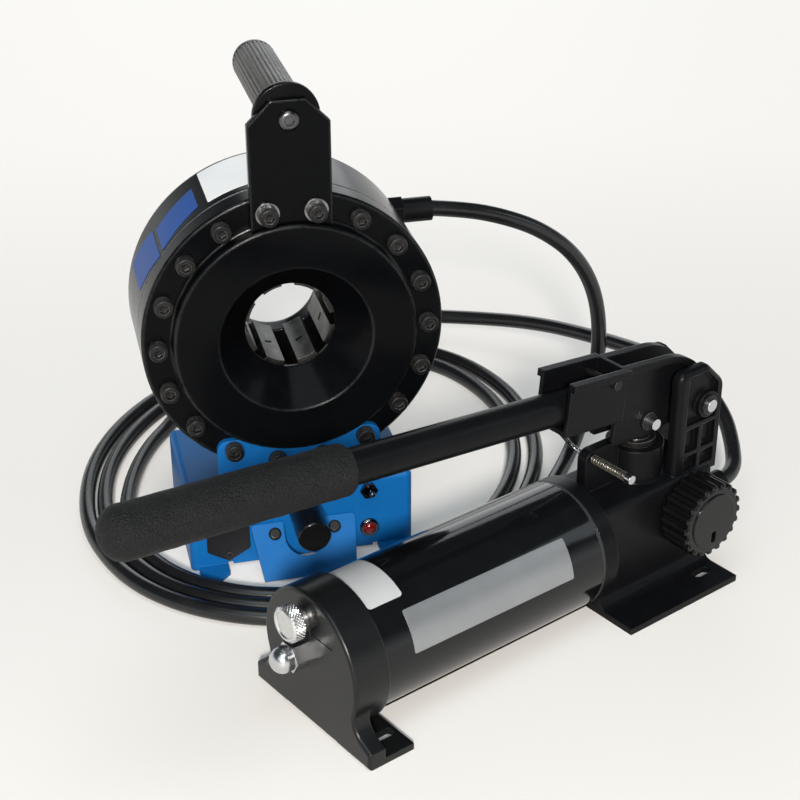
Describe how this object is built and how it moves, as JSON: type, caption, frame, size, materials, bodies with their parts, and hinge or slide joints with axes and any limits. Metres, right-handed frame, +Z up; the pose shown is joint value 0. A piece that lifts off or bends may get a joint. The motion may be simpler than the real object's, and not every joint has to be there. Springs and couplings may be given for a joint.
{
  "type": "portable hydraulic hose crimper with hand pump",
  "caption": "Crimping head with a ring of dies round an open bore, on a folded metal stand, driven by a lever hand pump through a coiled hydraulic hose.",
  "frame": {"origin": "on the floor, in the middle of the pump's four mounting slots", "axes": "+Z up; +X along the pump from its front cap to its block; +Y across to the crimping head"},
  "size_m": [0.5775, 0.5039, 0.3503],
  "materials": {
    "head_black": "satin black enamel",
    "pump_black": "gloss black enamel",
    "stand_blue": "gloss blue powder coat",
    "black_oxide": "black-oxide steel",
    "die_steel": "ground tool steel",
    "bright_steel": "zinc-plated steel",
    "chrome": "polished chrome",
    "aluminium": "turned aluminium",
    "black_plastic": "satin black plastic",
    "grip_rubber": "matte black rubber",
    "foam": "dark foam sleeve",
    "hose_rubber": "gloss black hose cover",
    "seal_rubber": "seal rubber",
    "red_lens": "clear red lens",
    "spring_steel": "yellow-zinc spring steel"
  },
  "bodies": {
    "frame": {"front_flange": "head_black", "cylinder_body": "head_black", "flange_screws": "black_oxide", "stand_screws": "black_oxide", "bracket_screws": "black_oxide", "grip_bracket": "head_black", "bracket_washers": "bright_steel", "carry_grip": "grip_rubber", "carry_bolt": "black_oxide", "stand_body": "stand_blue", "guard_plate": "stand_blue", "guard_posts": "bright_steel", "guard_screws": "black_oxide", "setting_bush": "bright_steel", "switch_body": "chrome", "lamp_bezel": "chrome", "lamp_lens": "red_lens", "battery_cover": "black_plastic", "cover_screws": "black_oxide", "battery_box": "black_plastic", "front_cap": "pump_black", "tank_tube": "pump_black", "tank_gaskets": "seal_rubber", "pump_block": "pump_black", "tie_rod": "bright_steel", "acorn_nut": "bright_steel", "gland_nut": "bright_steel", "pivot_pin": "bright_steel", "pivot_clips": "bright_steel", "inlet_elbow": "black_oxide", "outlet_fitting": "bright_steel", "hose_ends": "bright_steel", "hose_head_lead": "hose_rubber", "hose_coil": "hose_rubber", "hose_pump_lead": "hose_rubber"},
    "piston": {"ring_piston": "bright_steel", "piston_seals": "seal_rubber"},
    "handle": {"yoke": "pump_black", "yoke_bolt": "bright_steel", "handle_tube": "pump_black", "handle_grip": "foam", "plunger_pin": "bright_steel", "plunger_clips": "bright_steel"},
    "plunger": {"plunger": "chrome"},
    "latch": {"latch_rod": "bright_steel", "latch_spring": "spring_steel"},
    "release_valve": {"release_knob": "black_plastic", "valve_stem": "bright_steel"},
    "fill_cap": {"fill_cap": "aluminium"},
    "setting": {"setting_knob": "black_plastic", "setting_spindle": "bright_steel"},
    "switch": {"switch_lever": "chrome"},
    "die_1": {"die_1": "die_steel"},
    "die_2": {"die_2": "die_steel"},
    "die_3": {"die_3": "die_steel"},
    "die_4": {"die_4": "die_steel"},
    "die_5": {"die_5": "die_steel"},
    "die_6": {"die_6": "die_steel"},
    "die_7": {"die_7": "die_steel"},
    "die_8": {"die_8": "die_steel"}
  },
  "joints": [
    {"name": "piston_slide", "type": "slide", "parent": "frame", "child": "piston", "axis": [-0.4156, -0.9095, 0], "range_m": [0, 0.014], "stiffness_N_per_m": 2500, "springref_m": -0.012},
    {"name": "die_1_slide", "type": "slide", "parent": "frame", "child": "die_1", "axis": [-0.8403, 0.384, -0.3827], "range_m": [0, 0.0081]},
    {"name": "die_2_slide", "type": "slide", "parent": "frame", "child": "die_2", "axis": [-0.3481, 0.1591, -0.9239], "range_m": [0, 0.0081]},
    {"name": "die_3_slide", "type": "slide", "parent": "frame", "child": "die_3", "axis": [0.3481, -0.1591, -0.9239], "range_m": [0, 0.0081]},
    {"name": "die_4_slide", "type": "slide", "parent": "frame", "child": "die_4", "axis": [0.8403, -0.384, -0.3827], "range_m": [0, 0.0081]},
    {"name": "die_5_slide", "type": "slide", "parent": "frame", "child": "die_5", "axis": [0.8403, -0.384, 0.3827], "range_m": [0, 0.0081]},
    {"name": "die_6_slide", "type": "slide", "parent": "frame", "child": "die_6", "axis": [0.3481, -0.1591, 0.9239], "range_m": [0, 0.0081]},
    {"name": "die_7_slide", "type": "slide", "parent": "frame", "child": "die_7", "axis": [-0.3481, 0.1591, 0.9239], "range_m": [0, 0.0081]},
    {"name": "die_8_slide", "type": "slide", "parent": "frame", "child": "die_8", "axis": [-0.8403, 0.384, 0.3827], "range_m": [0, 0.0081]},
    {"name": "handle_pivot", "type": "hinge", "parent": "frame", "child": "handle", "pos_m": [0.153, 0, 0.1285], "axis": [0, 1, 0], "range_deg": [0, 34]},
    {"name": "plunger_slide", "type": "slide", "parent": "frame", "child": "plunger", "axis": [0, 0, 1], "range_m": [0, 0.0256]},
    {"name": "latch_pivot", "type": "hinge", "parent": "frame", "child": "latch", "pos_m": [0.0655, 0, 0.108], "axis": [0, -1, 0], "range_deg": [0, 60], "stiffness_Nm_per_rad": 0.01, "springref_deg": -34.38},
    {"name": "release_turn", "type": "hinge", "parent": "frame", "child": "release_valve", "pos_m": [0.1355, -0.04, 0.0555], "axis": [0, -1, 0], "range_deg": [0, 90]},
    {"name": "fill_cap_turn", "type": "hinge", "parent": "frame", "child": "fill_cap", "pos_m": [-0.1665, 0.006, 0.076], "axis": [-1, 0, 0], "range_deg": [0, 360]},
    {"name": "setting_turn", "type": "hinge", "parent": "frame", "child": "setting", "pos_m": [-0.06068, 0.15585, 0.045], "axis": [-0.4156, -0.9095, 0], "range_deg": [-150, 150]},
    {"name": "switch_toggle", "type": "hinge", "parent": "frame", "child": "switch", "pos_m": [-0.01657, 0.13569, 0.049], "axis": [0.9095, -0.4156, 0], "range_deg": [0, 28]}
  ],
  "couplings": [
    {"joint": "die_1_slide", "follows": "piston_slide", "ratio": 0.57735},
    {"joint": "die_2_slide", "follows": "piston_slide", "ratio": 0.57735},
    {"joint": "die_3_slide", "follows": "piston_slide", "ratio": 0.57735},
    {"joint": "die_4_slide", "follows": "piston_slide", "ratio": 0.57735},
    {"joint": "die_5_slide", "follows": "piston_slide", "ratio": 0.57735},
    {"joint": "die_6_slide", "follows": "piston_slide", "ratio": 0.57735},
    {"joint": "die_7_slide", "follows": "piston_slide", "ratio": 0.57735},
    {"joint": "die_8_slide", "follows": "piston_slide", "ratio": 0.57735},
    {"joint": "plunger_slide", "follows": "handle_pivot", "m_per_rad": 0.0426}
  ]
}
